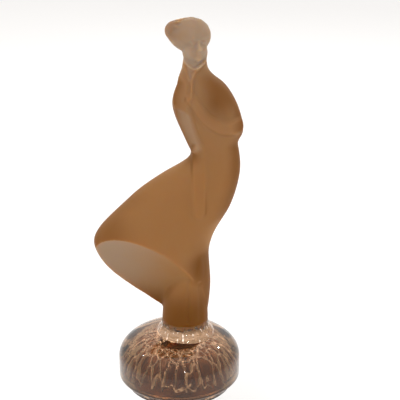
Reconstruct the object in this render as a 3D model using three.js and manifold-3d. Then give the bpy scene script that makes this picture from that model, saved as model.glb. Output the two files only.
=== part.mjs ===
// A hood mascot: a pressed-glass figure in a wind-blown gown on a hollow domed glass base, held down
// by a brass plate cemented in the foot, a threaded stud, washers and a wing nut under the hood.
// Millimetres, +Z up, the figure faces -Y, and the foot's gasket sits on the hood at z = 0.

import * as THREE from "three";
import { mergeVertices } from "three/addons/utils/BufferGeometryUtils.js";
import Module from "manifold-3d";

const wasm = await Module();
wasm.setup();

// Glass base
const BASE_RADIUS = 32.5;
const FOOT_RADIUS = 29;
const FOOT_HEIGHT = 2.2;
const FOOT_GROOVE_DEPTH = 1;
const FOOT_GROOVE_WIDTH = 0.8;
const EDGE_ROUND = 0.7;
const WALL_TOP = 16;
const DOME_TOP = 31.5;
const DOME_SQUARENESS = 2.05;

// Glass stem between the base and the figure, which stands a little to one side
const STEM_OFFSET = 3.3;
const STEM_RADIUS = 12;
const STEM_FLARE = 3.6;
const STEM_FLARE_RISE = 4.5;
const STEM_ROOT_DEPTH = 4;
const STEM_TOP = 37;

// Outline of the flare: shares of its width and of its rise, upwards
const FLARE_CURVE = [
  [0.6, 0.1],
  [0.2, 0.5],
  [0, 1],
];

// Bell-shaped hollow inside the base, open through the foot
const HOLLOW_TOP = 21;
const HOLLOW_TOP_RADIUS = 11;
const HOLLOW_MOUTH_RADIUS = 23.5;

// Gasket under the foot, and the rebate in the foot that takes the mounting plate
const GASKET_THICKNESS = 1.6;
const GASKET_RADIUS = 28;
const GASKET_HOLE_RADIUS = 9;
const REBATE_RADIUS = 26.2;
const REBATE_DEPTH = 3;

// Mounting plate and the cement around its edge
const FIT_GAP = 0.3;
const CEMENT_WIDTH = 1.4;
const PLATE_THICKNESS = 2.4;
const PLATE_HUB_RADIUS = 7;
const PLATE_HUB_HEIGHT = 6;

// Stud and the pieces on it, M8 with a 1.25 mm pitch
const STUD_RADIUS = 4;
const STUD_REACH = 36;
const STUD_CHAMFER = 0.8;
const THREAD_CLEARANCE = 0.1;
const HOOD_THICKNESS = 2.5;
const WASHER_CLEARANCE = 0.4;
const CUSHION_RADIUS = 12;
const CUSHION_THICKNESS = 2;
const CLAMP_WASHER_RADIUS = 12;
const CLAMP_WASHER_THICKNESS = 1.6;
const SPRING_WASHER_RADIUS = 6.7;
const SPRING_WASHER_THICKNESS = 2;
const SPRING_WASHER_SPLIT = 0.25;
const NUT_BASE_RADIUS = 8;
const NUT_TOP_RADIUS = 6.2;
const NUT_HEIGHT = 8;
const WING_THICKNESS = 2.6;

// Outline of a wing, [out from the axis, down from the nut's top]: two handles and an end per curve
const WING_START = [5, 1];
const WING_CURVES = [
  [[11, 2], [18, 3], [18, 8]],
  [[18, 15], [10.2, 15], [5, 7]],
];

// Facets around a full turn
const ROUND_SIDES = 48;
const SMALL_SIDES = 32;
const BODY_SIDES = 36;
const BODY_LEVELS = 32;
const LEG_LEVELS = 8;
const HEM_CUT_SIDES = 96;
const HEAD_SIDES = 20;
const LIMB_SIDES = 14;
const LIMB_END_LEVELS = 4;
const WING_CURVE_STEPS = 8;
const DOME_STEPS = 9;
const HOLLOW_STEPS = 6;

// Modelling tolerances
const MERGE_DISTANCE = 1e-4;
const CUT_OVERRUN = 1;

// Level sections of the legs, upwards: [height, left, right, front, back]
const LEG_SECTIONS = [
  [37, -8.7, 15.3, 12, 12],
  [45, -8.7, 15.5, 12, 12],
  [55, -2, 16, 11.5, 11],
  [64, 3, 15.5, 12, 11],
  [75, 4, 14, 11, 11],
];

// Level sections of the gown and the trunk, upwards
const BODY_SECTIONS = [
  [45, -8.7, 15.5, 12, 12],
  [51, -16.5, 16, 13.5, 13],
  [60, -28, 16.5, 16.5, 15],
  [68.5, -36.5, 15.8, 19, 18],
  [83, -44, 16.5, 22, 20],
  [94, -37.5, 21.5, 21, 19],
  [110.5, -20.5, 29.5, 17, 16],
  [124, 0, 31.5, 13.5, 13],
  [131, 6.5, 30.5, 11.5, 11],
  [143, 2.5, 28, 12, 11],
  [155, -2, 27.5, 12.5, 11],
  [165, -2, 25, 11, 10],
  [173, 2.5, 17, 7.5, 8],
  [178, 4.2, 13, 4.8, 5],
  [184, 4.5, 12.5, 4, 4],
];

// Limbs: two ends and a radius each
const LIMBS = [
  { from: [1, -4, 163], to: [7.5, -9.5, 136], radius: 5 },
  { from: [8.5, -9.5, 133], to: [12, -16, 104], radius: 3.4 },
  { from: [20, -3, 164], to: [28, -5, 142], radius: 5.5 },
  { from: [28, -6, 142], to: [8, -12, 158], radius: 4.4 },
];

// Head and swept hair: a centre and three half-sizes each
const HEAD = { centre: [8.5, -2, 189], half: [8, 9, 10.5] };
const HAIR = { centre: [5, 1.5, 191.3], half: [11, 11, 9] };

// The hollow face under the gown's hem is cut by a large cylinder that slopes down to the right
const HEM_CUT_RADIUS = 70;
const HEM_CUT_LENGTH = 160;
const HEM_CUT_CENTRE = [-28, -68, 34.9];
const HEM_CUT_SLOPE = -0.52;

// Solids from geometries, and geometries from solids.
function solidOf(geometry) {
  const bare = geometry.clone();
  bare.deleteAttribute("normal");
  bare.deleteAttribute("uv");
  const merged = mergeVertices(bare, MERGE_DISTANCE);
  return new wasm.Manifold(
    new wasm.Mesh({
      numProp: 3,
      vertProperties: merged.attributes.position.array,
      triVerts: new Uint32Array(merged.index.array),
    }),
  );
}

function geometryOf(solid) {
  const mesh = solid.getMesh();
  const geometry = new THREE.BufferGeometry();
  geometry.setAttribute("position", new THREE.BufferAttribute(mesh.vertProperties, 3));
  geometry.setIndex(new THREE.BufferAttribute(mesh.triVerts, 1));
  geometry.computeVertexNormals();
  return geometry;
}

function join(first, ...others) {
  return geometryOf(others.reduce((solid, other) => solid.add(solidOf(other)), solidOf(first)));
}

function cut(geometry, tool) {
  return geometryOf(solidOf(geometry).subtract(solidOf(tool)));
}

// A turned shape about Z. The profile is [radius, height] pairs, anticlockwise around the material.
function turned(profile, sides) {
  const points = profile.map(([radius, height]) => new THREE.Vector2(radius, height));
  return new THREE.LatheGeometry(points, sides).rotateX(Math.PI / 2);
}

function ring(innerRadius, outerRadius, bottom, top, sides) {
  return turned(
    [
      [innerRadius, bottom],
      [outerRadius, bottom],
      [outerRadius, top],
      [innerRadius, top],
      [innerRadius, bottom],
    ],
    sides,
  );
}

function ellipsoid({ centre, half }) {
  return new THREE.SphereGeometry(1, HEAD_SIDES, HEAD_SIDES / 2)
    .rotateX(Math.PI / 2)
    .scale(...half)
    .translate(...centre);
}

// A closed skin over level sections, joined by smooth curves.
function lofted(sections, sides, levels) {
  const edges = new THREE.CatmullRomCurve3(
    sections.map(([height, left, right]) => new THREE.Vector3(left, right, height)),
  );
  const depths = new THREE.CatmullRomCurve3(
    sections.map(([height, , , front, back]) => new THREE.Vector3(front, back, height)),
  );
  const skin = new THREE.CylinderGeometry(1, 1, 1, sides, levels).rotateX(Math.PI / 2);
  const places = skin.attributes.position;
  for (let i = 0; i < places.count; i++) {
    const share = places.getZ(i) + 0.5;
    const edge = edges.getPoint(share);
    const depth = depths.getPoint(share);
    const [across, along] = [places.getX(i), places.getY(i)];
    const middle = (edge.x + edge.y) / 2;
    const halfWidth = (edge.y - edge.x) / 2;
    const halfDepth = along < 0 ? depth.x : depth.y;
    places.setXYZ(i, middle + across * halfWidth, along * halfDepth, edge.z);
  }
  return skin;
}

function limb({ from, to, radius }) {
  const start = new THREE.Vector3(...from);
  const run = new THREE.Vector3(...to).sub(start);
  const turn = new THREE.Quaternion().setFromUnitVectors(
    new THREE.Vector3(0, 1, 0),
    run.clone().normalize(),
  );
  const middle = start.clone().addScaledVector(run, 0.5);
  return new THREE.CapsuleGeometry(radius, run.length(), LIMB_END_LEVELS, LIMB_SIDES)
    .applyQuaternion(turn)
    .translate(middle.x, middle.y, middle.z);
}

function hemCut() {
  return new THREE.CylinderGeometry(HEM_CUT_RADIUS, HEM_CUT_RADIUS, HEM_CUT_LENGTH, HEM_CUT_SIDES)
    .rotateZ(Math.PI / 2)
    .rotateY(-Math.atan(HEM_CUT_SLOPE))
    .translate(...HEM_CUT_CENTRE);
}

// Figure: legs, gown and trunk, head and hair, and the two arms in one piece of frosted glass.
function figure() {
  const body = lofted(BODY_SECTIONS, BODY_SIDES, BODY_LEVELS);
  const gown = cut(body, hemCut());
  const legs = lofted(LEG_SECTIONS, BODY_SIDES, LEG_LEVELS);
  return join(gown, legs, ellipsoid(HEAD), ellipsoid(HAIR), ...LIMBS.map(limb));
}

// Base: hollow, foot, groove, wall and dome in one turning, with the flared stem joined on.
function domeProfile() {
  const points = [];
  for (let i = 1; i < DOME_STEPS; i++) {
    const angle = (i / DOME_STEPS) * (Math.PI / 2);
    const out = Math.cos(angle) ** (2 / DOME_SQUARENESS);
    const rise = Math.sin(angle) ** (2 / DOME_SQUARENESS);
    points.push([BASE_RADIUS * out, WALL_TOP + (DOME_TOP - WALL_TOP) * rise]);
  }
  return points;
}

function hollowProfile(mouth) {
  const points = [];
  for (let i = 1; i < HOLLOW_STEPS; i++) {
    const angle = (i / HOLLOW_STEPS) * (Math.PI / 2);
    const flare = HOLLOW_MOUTH_RADIUS - HOLLOW_TOP_RADIUS;
    points.push([
      HOLLOW_TOP_RADIUS + flare * Math.sin(angle),
      mouth + (HOLLOW_TOP - mouth) * Math.cos(angle),
    ]);
  }
  return points;
}

function base() {
  const underside = GASKET_THICKNESS;
  const footTop = underside + FOOT_HEIGHT;
  const bodyBottom = footTop + FOOT_GROOVE_WIDTH;
  const grooveRadius = FOOT_RADIUS - FOOT_GROOVE_DEPTH;
  const rebateTop = underside + REBATE_DEPTH;
  const dome = turned(
    [
      [0, HOLLOW_TOP],
      [HOLLOW_TOP_RADIUS, HOLLOW_TOP],
      ...hollowProfile(rebateTop),
      [HOLLOW_MOUTH_RADIUS, rebateTop],
      [REBATE_RADIUS, rebateTop],
      [REBATE_RADIUS, underside],
      [FOOT_RADIUS - EDGE_ROUND, underside],
      [FOOT_RADIUS, underside + EDGE_ROUND],
      [FOOT_RADIUS, footTop - EDGE_ROUND],
      [grooveRadius, footTop],
      [grooveRadius, bodyBottom],
      [BASE_RADIUS - EDGE_ROUND, bodyBottom],
      [BASE_RADIUS, bodyBottom + EDGE_ROUND],
      [BASE_RADIUS, WALL_TOP],
      ...domeProfile(),
      [0, DOME_TOP],
    ],
    ROUND_SIDES,
  );
  const stemBottom = DOME_TOP - STEM_ROOT_DEPTH;
  const flare = FLARE_CURVE.map(([width, rise]) => [
    STEM_RADIUS + STEM_FLARE * width,
    DOME_TOP + STEM_FLARE_RISE * rise,
  ]);
  const stem = turned(
    [
      [0, stemBottom],
      [STEM_RADIUS + STEM_FLARE, stemBottom],
      ...flare,
      [STEM_RADIUS, STEM_TOP],
      [0, STEM_TOP],
    ],
    BODY_SIDES,
  ).translate(STEM_OFFSET, 0, 0);
  return join(dome, stem);
}

// Rubber gasket between the glass foot and the paint.
function gasket() {
  return ring(GASKET_HOLE_RADIUS, GASKET_RADIUS, 0, GASKET_THICKNESS, ROUND_SIDES);
}

// Mounting plate: a brass disc in the foot's rebate, with a hub that is tapped right through.
const PLATE_BOTTOM = GASKET_THICKNESS + FIT_GAP;
const PLATE_TOP = PLATE_BOTTOM + PLATE_THICKNESS;
const PLATE_RADIUS = REBATE_RADIUS - CEMENT_WIDTH - 2 * FIT_GAP;
const HUB_TOP = PLATE_TOP + PLATE_HUB_HEIGHT;

function plate() {
  const thread = STUD_RADIUS + THREAD_CLEARANCE;
  return turned(
    [
      [thread, PLATE_BOTTOM],
      [PLATE_RADIUS, PLATE_BOTTOM],
      [PLATE_RADIUS, PLATE_TOP],
      [PLATE_HUB_RADIUS, PLATE_TOP],
      [PLATE_HUB_RADIUS, HUB_TOP],
      [thread, HUB_TOP],
      [thread, PLATE_BOTTOM],
    ],
    ROUND_SIDES,
  );
}

// Cement: the ring that fills the rebate around the plate's edge.
function cement() {
  const inner = PLATE_RADIUS + FIT_GAP;
  return ring(inner, inner + CEMENT_WIDTH, PLATE_BOTTOM, PLATE_TOP, ROUND_SIDES);
}

// Stud: screwed into the plate's hub and left hanging through the hood.
function stud() {
  const top = HUB_TOP - FIT_GAP;
  const tip = -STUD_REACH;
  return turned(
    [
      [0, tip],
      [STUD_RADIUS - STUD_CHAMFER, tip],
      [STUD_RADIUS, tip + STUD_CHAMFER],
      [STUD_RADIUS, top - STUD_CHAMFER],
      [STUD_RADIUS - STUD_CHAMFER, top],
      [0, top],
    ],
    SMALL_SIDES,
  );
}

// The washers and the nut hang in this order below the hood.
const CUSHION_TOP = -HOOD_THICKNESS;
const CLAMP_WASHER_TOP = CUSHION_TOP - CUSHION_THICKNESS;
const SPRING_WASHER_TOP = CLAMP_WASHER_TOP - CLAMP_WASHER_THICKNESS;
const NUT_TOP = SPRING_WASHER_TOP - SPRING_WASHER_THICKNESS;

function washer(radius, thickness, top) {
  return ring(STUD_RADIUS + WASHER_CLEARANCE, radius, top - thickness, top, SMALL_SIDES);
}

// Spring washer: a flat ring that is split on one side.
function springWasher() {
  const inner = STUD_RADIUS + WASHER_CLEARANCE;
  const outline = new THREE.Shape();
  outline.absarc(0, 0, SPRING_WASHER_RADIUS, SPRING_WASHER_SPLIT, 2 * Math.PI, false);
  outline.absarc(0, 0, inner, 2 * Math.PI, SPRING_WASHER_SPLIT, true);
  outline.closePath();
  return new THREE.ExtrudeGeometry(outline, {
    depth: SPRING_WASHER_THICKNESS,
    bevelEnabled: false,
    curveSegments: SMALL_SIDES,
  }).translate(0, 0, SPRING_WASHER_TOP - SPRING_WASHER_THICKNESS);
}

// Wing nut: a tapered hub with two rounded wings that lean out and down.
function wingNut() {
  const bottom = NUT_TOP - NUT_HEIGHT;
  const thread = STUD_RADIUS + THREAD_CLEARANCE;
  const hub = turned(
    [
      [0, bottom],
      [NUT_TOP_RADIUS, bottom],
      [NUT_BASE_RADIUS, NUT_TOP],
      [0, NUT_TOP],
    ],
    SMALL_SIDES,
  );
  const place = ([out, down]) => [out, NUT_TOP - down];
  const outline = new THREE.Shape();
  outline.moveTo(...place(WING_START));
  for (const curve of WING_CURVES) {
    outline.bezierCurveTo(...curve.flatMap(place));
  }
  outline.closePath();
  const wing = new THREE.ExtrudeGeometry(outline, {
    depth: WING_THICKNESS,
    bevelEnabled: false,
    curveSegments: WING_CURVE_STEPS,
  })
    .translate(0, 0, -WING_THICKNESS / 2)
    .rotateX(Math.PI / 2);
  const otherWing = wing.clone().rotateZ(Math.PI);
  const bore = turned(
    [
      [0, bottom - CUT_OVERRUN],
      [thread, bottom - CUT_OVERRUN],
      [thread, NUT_TOP + CUT_OVERRUN],
      [0, NUT_TOP + CUT_OVERRUN],
    ],
    SMALL_SIDES,
  );
  return cut(join(hub, wing, otherWing), bore);
}

// Finishes
const finishes = {
  frostedGlass: { color: 0xa87b55, roughness: 0.55, metalness: 0 },
  clearGlass: { color: 0x7a5a40, roughness: 0.08, metalness: 0 },
  rubber: { color: 0x2a1d15, roughness: 0.8, metalness: 0 },
  cement: { color: 0x9a7a58, roughness: 0.9, metalness: 0 },
  brass: { color: 0xb08d4a, roughness: 0.35, metalness: 1 },
  steel: { color: 0xb4b6b8, roughness: 0.35, metalness: 1 },
};

function piece(name, geometry, finish) {
  const mesh = new THREE.Mesh(geometry, new THREE.MeshStandardMaterial(finishes[finish]));
  mesh.name = name;
  return mesh;
}

const mascot = new THREE.Group();
mascot.add(
  piece("glass_figure", figure(), "frostedGlass"),
  piece("glass_base", base(), "clearGlass"),
  piece("foot_gasket", gasket(), "rubber"),
  piece("plate_cement", cement(), "cement"),
  piece("mounting_plate", plate(), "brass"),
  piece("threaded_stud", stud(), "steel"),
  piece("cushion_washer", washer(CUSHION_RADIUS, CUSHION_THICKNESS, CUSHION_TOP), "rubber"),
  piece(
    "clamp_washer",
    washer(CLAMP_WASHER_RADIUS, CLAMP_WASHER_THICKNESS, CLAMP_WASHER_TOP),
    "steel",
  ),
  piece("spring_washer", springWasher(), "steel"),
  piece("wing_nut", wingNut(), "brass"),
);

export default mascot;
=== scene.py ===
"""The looks of a pressed-glass hood mascot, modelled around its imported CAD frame.

Shapes are worked in millimetres in the frame's own axes. Each piece is turned to metres as it is
finished.
"""

import math

import bmesh
import bpy
import numpy as np
from bpy.props import FloatProperty, FloatVectorProperty, IntProperty, PointerProperty
from mathutils import Matrix, Vector, noise


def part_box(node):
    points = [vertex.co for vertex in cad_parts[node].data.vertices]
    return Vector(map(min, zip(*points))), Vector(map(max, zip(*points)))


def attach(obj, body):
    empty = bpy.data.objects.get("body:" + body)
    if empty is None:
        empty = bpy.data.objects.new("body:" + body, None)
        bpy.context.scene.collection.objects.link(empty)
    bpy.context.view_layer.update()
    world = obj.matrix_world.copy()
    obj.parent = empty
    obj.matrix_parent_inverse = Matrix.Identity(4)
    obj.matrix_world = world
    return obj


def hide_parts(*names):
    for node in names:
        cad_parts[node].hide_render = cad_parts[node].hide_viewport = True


bl_info = {
    "name": "Glass Hood Mascot",
    "version": (1, 0, 0),
    "blender": (4, 5, 0),
    "location": "View3D > Sidebar > Mascot",
    "description": "Builds a frosted glass figure on a clear hollow base, with its hood fixing",
    "category": "Add Mesh",
}

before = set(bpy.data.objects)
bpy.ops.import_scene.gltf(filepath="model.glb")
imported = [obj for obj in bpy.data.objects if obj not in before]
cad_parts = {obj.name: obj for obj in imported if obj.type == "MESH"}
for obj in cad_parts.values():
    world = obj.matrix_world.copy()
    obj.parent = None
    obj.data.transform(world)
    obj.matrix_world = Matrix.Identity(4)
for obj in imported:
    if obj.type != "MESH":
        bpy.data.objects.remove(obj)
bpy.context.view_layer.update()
MM = 0.001


# Sizes of the CAD pieces, in millimetres


def node_box(node):
    low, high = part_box(node)
    return low / MM, high / MM


BASE_LOW, BASE_HIGH = node_box("glass_base")
GASKET_LOW, GASKET_HIGH = node_box("foot_gasket")
PLATE_LOW, PLATE_HIGH = node_box("mounting_plate")
CEMENT_LOW, CEMENT_HIGH = node_box("plate_cement")
STUD_LOW, STUD_HIGH = node_box("threaded_stud")
CUSHION_LOW, CUSHION_HIGH = node_box("cushion_washer")
CLAMP_LOW, CLAMP_HIGH = node_box("clamp_washer")
SPRING_LOW, SPRING_HIGH = node_box("spring_washer")
NUT_HIGH = node_box("wing_nut")[1]

BASE_RADIUS = BASE_HIGH.x
FOOT_BOTTOM = BASE_LOW.z
STEM_TOP = BASE_HIGH.z
STUD_RADIUS = STUD_HIGH.x


# Properties


class MascotSizes(bpy.types.PropertyGroup):
    """Fineness and relief of the modelled pieces."""

    figure_voxel: FloatProperty(
        name="Figure Voxel",
        description="Grid size that the figure's parts are fused on",
        default=0.54 * MM,
        min=0.2 * MM,
        subtype="DISTANCE",
        unit="LENGTH",
    )
    figure_smoothing: IntProperty(
        name="Figure Smoothing",
        description="Passes that soften the figure as pressed and frosted glass is soft",
        default=8,
        min=0,
    )
    root_height: FloatProperty(
        name="Root Height",
        description="How far the pressed roots stand out inside the base",
        default=1.1 * MM,
        min=0.0,
        subtype="DISTANCE",
        unit="LENGTH",
    )
    root_count: FloatProperty(
        name="Root Count",
        description="Number of cells between roots around the base",
        default=26.0,
        min=4.0,
    )
    thread_pitch: FloatProperty(
        name="Thread Pitch",
        description="Rise of the stud's thread in one turn",
        default=1.25 * MM,
        subtype="DISTANCE",
        unit="LENGTH",
    )


def colour_property(name, description, default):
    return FloatVectorProperty(
        name=name, description=description, default=default, size=3, min=0.0, max=1.0, subtype="COLOR"
    )


class MascotColours(bpy.types.PropertyGroup):
    """Colours of the finishes, scene linear."""

    # This colour is a painted sheen: the frosted glass is lifted paler on the head and neck, the bare arm
    # and the hem's hollow face, and in the neckline opening.
    sheen_glass: colour_property("Pale Glass", "Frosted glass on bare skin", (0.315, 0.222, 0.148))
    chest_glass: colour_property("Chest Glass", "Frosted glass of the bodice", (0.285, 0.152, 0.068))
    gown_glass: colour_property("Gown Glass", "Frosted glass of the skirt", (0.302, 0.143, 0.048))
    # This colour carries painted shade in creases, at the turned-away sides, on the skirt's far left, at the
    # elbow and under the folded arm, and the deeper colour towards the foot, on the hair and over the upper
    # right of the bodice.
    deep_and_shade_glass: colour_property("Deep Glass", "Frosted glass in folds and at the foot", (0.165, 0.06, 0.006))
    clear_glass: colour_property("Clear Glass", "Tint of the base over its hollow", (0.62, 0.375, 0.22))
    # These two tints are painted shade: darker towards the thick rim and on the upper stem.
    rim_shade_glass: colour_property("Rim Glass", "Tint of the base in its thick rim", (0.185, 0.098, 0.04))
    neck_shade_glass: colour_property("Neck Glass", "Tint of the clear stem", (0.14, 0.07, 0.03))
    # This colour is a painted highlight on the root crests, and the colour of their glowing painted glints.
    root_crest_highlight: colour_property("Root Glass", "Crests of the pressed roots", (0.9, 0.74, 0.62))
    rubber: colour_property("Rubber", "Gasket rubber", (0.03, 0.018, 0.012))
    brass: colour_property("Brass", "Plate and nut", (0.78, 0.55, 0.27))
    steel: colour_property("Steel", "Stud and washers", (0.42, 0.42, 0.43))
    cement: colour_property("Cement", "Setting cement", (0.36, 0.24, 0.14))
    floor: colour_property("Floor", "Studio floor", (0.86, 0.85, 0.84))


class MascotStage(bpy.types.PropertyGroup):
    """Camera and light."""

    distance: FloatProperty(
        name="Distance",
        description="Camera to the middle of the foot",
        default=0.65,
        subtype="DISTANCE",
        unit="LENGTH",
    )
    elevation: FloatProperty(
        name="Elevation",
        description="Camera's height angle as seen from the foot",
        default=math.radians(30.0),
        subtype="ANGLE",
        unit="ROTATION",
    )
    pitch: FloatProperty(
        name="Pitch",
        description="How far the camera looks down",
        default=math.radians(21.34),
        subtype="ANGLE",
        unit="ROTATION",
    )
    sideways: FloatProperty(
        name="Sideways",
        description="Camera's place to the right of the foot",
        default=11.2 * MM,
        subtype="DISTANCE",
        unit="LENGTH",
    )
    lens: FloatProperty(
        name="Lens", description="Focal length", default=105.9, subtype="DISTANCE_CAMERA"
    )
    key_power: FloatProperty(
        name="Key Power", description="Main softbox", default=3.0, subtype="POWER", unit="POWER"
    )
    world_strength: FloatProperty(
        name="World Strength", description="Even studio light", default=0.88
    )


# Shader building


class Wire:
    """An output socket. Arithmetic on wires and numbers adds Math nodes."""

    def __init__(self, finish, socket):
        self.finish = finish
        self.socket = socket

    def math(self, operation, first, second):
        return self.finish.node("ShaderNodeMath", {"operation": operation}, {0: first, 1: second})

    def __add__(self, other):
        return self.math("ADD", self, other)

    def __radd__(self, other):
        return self.math("ADD", other, self)

    def __sub__(self, other):
        return self.math("SUBTRACT", self, other)

    def __rsub__(self, other):
        return self.math("SUBTRACT", other, self)

    def __mul__(self, other):
        return self.math("MULTIPLY", self, other)

    def __rmul__(self, other):
        return self.math("MULTIPLY", other, self)

    def __truediv__(self, other):
        return self.math("DIVIDE", self, other)

    def __rtruediv__(self, other):
        return self.math("DIVIDE", other, self)


class Finish:
    """A material and its node tree."""

    def __init__(self, name):
        self.material = bpy.data.materials.new(name)
        self.material.use_nodes = True
        self.tree = self.material.node_tree
        self.tree.nodes.clear()

    def node(self, kind, settings=None, inputs=None, output=0):
        """Adds a node of a kind, sets it up, feeds its sockets and returns one of its outputs."""
        made = self.tree.nodes.new(kind)
        for key, value in (settings or {}).items():
            if key == "stops":
                self.set_stops(made.color_ramp, value)
            else:
                setattr(made, key, value)
        for key, value in (inputs or {}).items():
            if isinstance(value, Wire):
                self.tree.links.new(value.socket, made.inputs[key])
            else:
                made.inputs[key].default_value = value
        return Wire(self, made.outputs[output]) if made.outputs else None

    @staticmethod
    def set_stops(ramp, stops):
        while len(ramp.elements) < len(stops):
            ramp.elements.new(1.0)
        for element, (position, colour) in zip(ramp.elements, stops):
            element.position = position
            element.color = (*colour, 1.0)

    def object_place(self):
        return self.node("ShaderNodeTexCoord", output="Object")

    def axis(self, place, letter):
        return self.node("ShaderNodeSeparateXYZ", None, {"Vector": place}, letter)

    def level(self, place):
        """A place with its height taken out."""
        flat = {"Vector": place, "Scale": (1.0, 1.0, 0.0)}
        return self.node("ShaderNodeMapping", {"vector_type": "POINT"}, flat)

    def noise(self, place, scale, detail=2.0, roughness=0.5):
        return self.node(
            "ShaderNodeTexNoise",
            None,
            {"Vector": place, "Scale": scale, "Detail": detail, "Roughness": roughness},
            "Fac",
        )

    def band(self, value, low, high, to_low=0.0, to_high=1.0):
        """Maps a value from one span to another, held at both ends and eased."""
        return self.node(
            "ShaderNodeMapRange",
            {"interpolation_type": "SMOOTHSTEP"},
            {"Value": value, "From Min": low, "From Max": high, "To Min": to_low, "To Max": to_high},
        )

    def blend(self, factor, first, second):
        """Mixes two colours, each a wire or three numbers."""
        return self.node(
            "ShaderNodeMix",
            {"data_type": "RGBA"},
            {0: factor, 6: self.opaque(first), 7: self.opaque(second)},
            2,
        )

    @staticmethod
    def opaque(colour):
        return colour if isinstance(colour, Wire) else (*colour, 1.0)

    def bump(self, height, distance, strength=1.0):
        return self.node(
            "ShaderNodeBump", None, {"Height": height, "Distance": distance, "Strength": strength}, "Normal"
        )

    def principled(self, **inputs):
        names = {key.replace("_", " ").title(): value for key, value in inputs.items()}
        if "Ior" in names:
            names["IOR"] = names.pop("Ior")
        if "Specular Ior Level" in names:
            names["Specular IOR Level"] = names.pop("Specular Ior Level")
        return self.node("ShaderNodeBsdfPrincipled", None, names)

    def output(self, surface):
        self.node("ShaderNodeOutputMaterial", None, {"Surface": surface})
        return self.material


# Finishes

BODICE_BAND = (0.110, 0.175)
# Painted shade bands: the rim tint by radius and the upper-stem tint by height.
RIM_BAND = (0.022, 0.032)
NECK_BAND = (0.0335, 0.036)
FROST_BAND = (0.0398, 0.0412)
FROST_RAGGEDNESS = 0.008
# Share of the crest relief that carries the painted highlight.
CREST_BAND = (0.58, 0.92)


def frosted_surface(finish, colours):
    """Acid-frosted glass, warm through the gown. A painted sheen makes it paler on the head and neck, the
    bare arm and the hem's hollow face, and it is paler in the neckline opening; painted shade makes it
    deeper in creases, at the turned-away sides, on the skirt's far left, at the elbow and under the folded
    arm, and it is deeper towards the foot, on the hair and over the upper right of the bodice.
    """
    place = finish.object_place()
    pale = finish.node("ShaderNodeAttribute", {"attribute_name": "pale"}, None, "Fac")
    deep = finish.node("ShaderNodeAttribute", {"attribute_name": "deep"}, None, "Fac")
    cloud = finish.noise(place, 45.0, 3.0)
    height = finish.axis(place, "Z")
    upper = finish.band(height, *BODICE_BAND)
    body = finish.blend(upper, tuple(colours.gown_glass), tuple(colours.chest_glass))
    # Painted sheen: the marked places are lifted towards the paler colour.
    skin = finish.blend(pale, body, tuple(colours.sheen_glass))
    # Painted shade and deeper colour: the marked places darken, broken up by the cloud.
    depth = finish.band(deep + (cloud - 0.5) * 0.35, 0.0, 1.0)
    colour = finish.blend(depth, skin, tuple(colours.deep_and_shade_glass))
    grain = finish.noise(place, 2600.0, 2.0, 0.6)
    return finish.principled(
        base_color=colour,
        roughness=finish.band(grain, 0.3, 0.7, 0.46, 0.6),
        ior=1.45,
        subsurface_weight=1.0,
        subsurface_radius=(1.0, 0.6, 0.3),
        subsurface_scale=0.009,
        specular_ior_level=0.08,
        transmission_weight=0.1,
        normal=finish.bump(grain, 0.00005, 0.35),
    )


def frosted_glass(colours):
    finish = Finish("frosted_glass")
    return finish.output(frosted_surface(finish, colours))


def clear_glass(colours):
    """Polished glass with faint waves, frosted above the stem. Its tint darkens towards the thick rim and on
    the upper stem, both painted shade, and the root crests carry a painted highlight with painted glints
    that glow faintly.
    """
    finish = Finish("clear_glass")
    place = finish.object_place()
    height = finish.axis(place, "Z")
    waves = finish.noise(place, 90.0, 2.0)
    out = finish.node("ShaderNodeVectorMath", {"operation": "LENGTH"}, {0: finish.level(place)}, "Value")
    # Painted shade: the tint darkens towards the thick rim and on the upper stem.
    rim = finish.band(out, *RIM_BAND)
    tint = finish.blend(rim, tuple(colours.clear_glass), tuple(colours.rim_shade_glass))
    neck = finish.band(height, *NECK_BAND)
    clear = finish.principled(
        base_color=finish.blend(neck, tint, tuple(colours.neck_shade_glass)),
        roughness=0.03,
        ior=1.5,
        transmission_weight=0.96,
        normal=finish.bump(waves, 0.0006, 0.25),
    )
    ragged = finish.noise(place, 420.0, 3.0, 0.7)
    edge = finish.band(height + ragged * FROST_RAGGEDNESS, *FROST_BAND)
    frosted = finish.principled(
        base_color=(*colours.deep_and_shade_glass, 1.0),
        roughness=0.5,
        subsurface_weight=0.6,
        subsurface_scale=0.004,
    )
    # Painted highlight on the root crests, with painted glints that glow through the emission.
    crest = finish.node("ShaderNodeAttribute", {"attribute_name": "crest"}, None, "Fac")
    painted_glint = finish.band(finish.noise(place, 520.0, 2.0), 0.5, 0.62, 0.12, 0.75)
    root = finish.principled(
        base_color=(*colours.root_crest_highlight, 1.0),
        roughness=0.2,
        ior=1.5,
        emission_color=finish.blend(painted_glint, (0.0, 0.0, 0.0), tuple(colours.root_crest_highlight)),
        emission_strength=1.0,
    )
    crest_highlight_share = finish.band(crest, *CREST_BAND, 0.0, 0.9)
    rooted = finish.node("ShaderNodeMixShader", None, {0: crest_highlight_share, 1: clear, 2: root})
    surface = finish.node("ShaderNodeMixShader", None, {0: edge, 1: rooted, 2: frosted})
    return finish.output(surface)


def rubber(colours, name="gasket_rubber"):
    finish = Finish(name)
    place = finish.object_place()
    dust = finish.noise(place, 300.0, 4.0)
    colour = finish.blend(dust, tuple(colours.rubber), tuple(2.2 * c for c in colours.rubber))
    pores = finish.noise(place, 1500.0, 3.0)
    return finish.output(
        finish.principled(
            base_color=colour,
            roughness=finish.band(dust, 0.3, 0.7, 0.62, 0.85),
            normal=finish.bump(pores, 0.0001, 0.5),
        )
    )


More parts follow.
